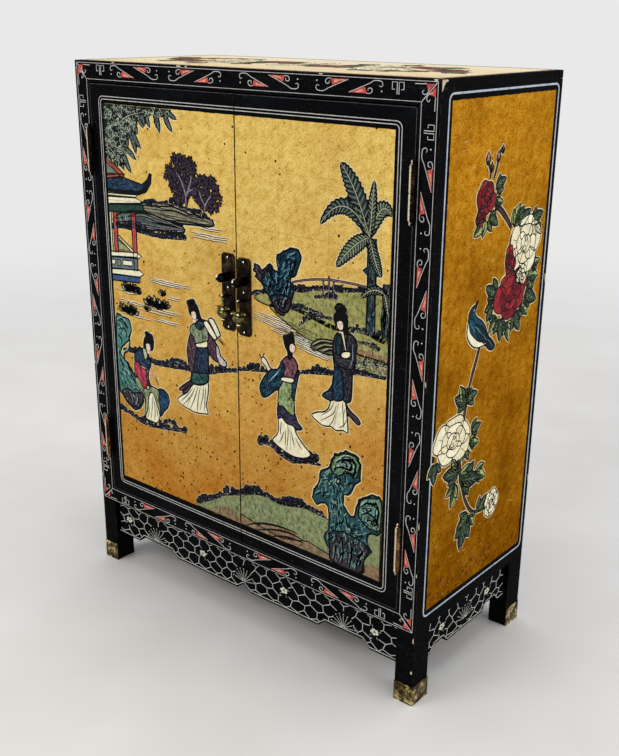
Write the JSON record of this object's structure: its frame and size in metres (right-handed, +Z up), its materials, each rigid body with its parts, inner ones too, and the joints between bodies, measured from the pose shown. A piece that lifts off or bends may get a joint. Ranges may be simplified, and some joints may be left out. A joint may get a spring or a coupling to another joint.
{
  "type": "two-door lacquer cabinet",
  "caption": "Small black and gilt lacquer cabinet on its own square legs, with two hinged doors, lock plates, hanging pulls and an inner shelf.",
  "frame": {"origin": "on the floor, under the middle of the whole outline seen from above", "axes": "+Z up, doors face -Y, +X to the right of someone facing the doors"},
  "size_m": [0.7144, 0.3506, 0.914],
  "materials": {
    "black_lacquer": "polished lacquer, worn",
    "gold_gilt_lacquer": "gilt lacquer, pitted",
    "amber_gilt_lacquer": "gilt lacquer, amber",
    "cream_gilt_lacquer": "gilt lacquer, pale",
    "inner_wood": "stained softwood",
    "dark_bronze": "dark patinated",
    "aged_brass": "aged, rubbed"
  },
  "bodies": {
    "carcass": {"post_front_left": "black_lacquer", "post_front_right": "black_lacquer", "post_back_left": "black_lacquer", "post_back_right": "black_lacquer", "rail_top_front": "black_lacquer", "rail_bottom_front": "black_lacquer", "rail_top_back": "black_lacquer", "rail_bottom_back": "black_lacquer", "back_panel": "black_lacquer", "apron_front": "black_lacquer", "apron_back": "black_lacquer", "apron_left": "black_lacquer", "apron_right": "black_lacquer", "side_panel_left": "amber_gilt_lacquer", "side_panel_right": "amber_gilt_lacquer", "top_board": "cream_gilt_lacquer", "floor_board": "inner_wood", "shelf": "inner_wood", "shelf_cleat_left": "inner_wood", "shelf_cleat_right": "inner_wood", "door_stop": "inner_wood", "shoe_front_left": "aged_brass", "shoe_front_right": "aged_brass", "shoe_back_left": "aged_brass", "shoe_back_right": "aged_brass", "hinge_left_upper_post_leaf": "dark_bronze", "hinge_left_upper_pin": "dark_bronze", "hinge_left_lower_post_leaf": "dark_bronze", "hinge_left_lower_pin": "dark_bronze", "hinge_right_upper_post_leaf": "dark_bronze", "hinge_right_upper_pin": "dark_bronze", "hinge_right_lower_post_leaf": "dark_bronze", "hinge_right_lower_pin": "dark_bronze"},
    "door_left": {"door_left": "gold_gilt_lacquer", "lock_plate_left": "dark_bronze", "lock_loop_left": "dark_bronze", "pull_staple_left": "dark_bronze", "rivet_left_top": "aged_brass", "rivet_left_middle": "aged_brass", "rivet_left_bottom": "aged_brass", "hinge_left_upper_door_leaf": "dark_bronze", "hinge_left_lower_door_leaf": "dark_bronze"},
    "pull_left": {"pull_left": "aged_brass"},
    "door_right": {"door_right": "gold_gilt_lacquer", "lock_plate_right": "dark_bronze", "lock_loop_right": "dark_bronze", "pull_staple_right": "dark_bronze", "rivet_right_top": "aged_brass", "rivet_right_middle": "aged_brass", "rivet_right_bottom": "aged_brass", "hinge_right_upper_door_leaf": "dark_bronze", "hinge_right_lower_door_leaf": "dark_bronze"},
    "pull_right": {"pull_right": "aged_brass"}
  },
  "joints": [
    {"name": "door_left_swing", "type": "hinge", "parent": "carcass", "child": "door_left", "pos_m": [-0.3215, -0.1544, 0.5155], "axis": [0, 0, -1], "range_deg": [0, 180]},
    {"name": "door_right_swing", "type": "hinge", "parent": "carcass", "child": "door_right", "pos_m": [0.3215, -0.1544, 0.5155], "axis": [0, 0, 1], "range_deg": [0, 180]},
    {"name": "pull_left_swing", "type": "hinge", "parent": "door_left", "child": "pull_left", "pos_m": [-0.0125, -0.1638, 0.579], "axis": [-1, 0, 0], "range_deg": [-4, 110]},
    {"name": "pull_right_swing", "type": "hinge", "parent": "door_right", "child": "pull_right", "pos_m": [0.0205, -0.1638, 0.576], "axis": [-1, 0, 0], "range_deg": [-4, 110]}
  ]
}
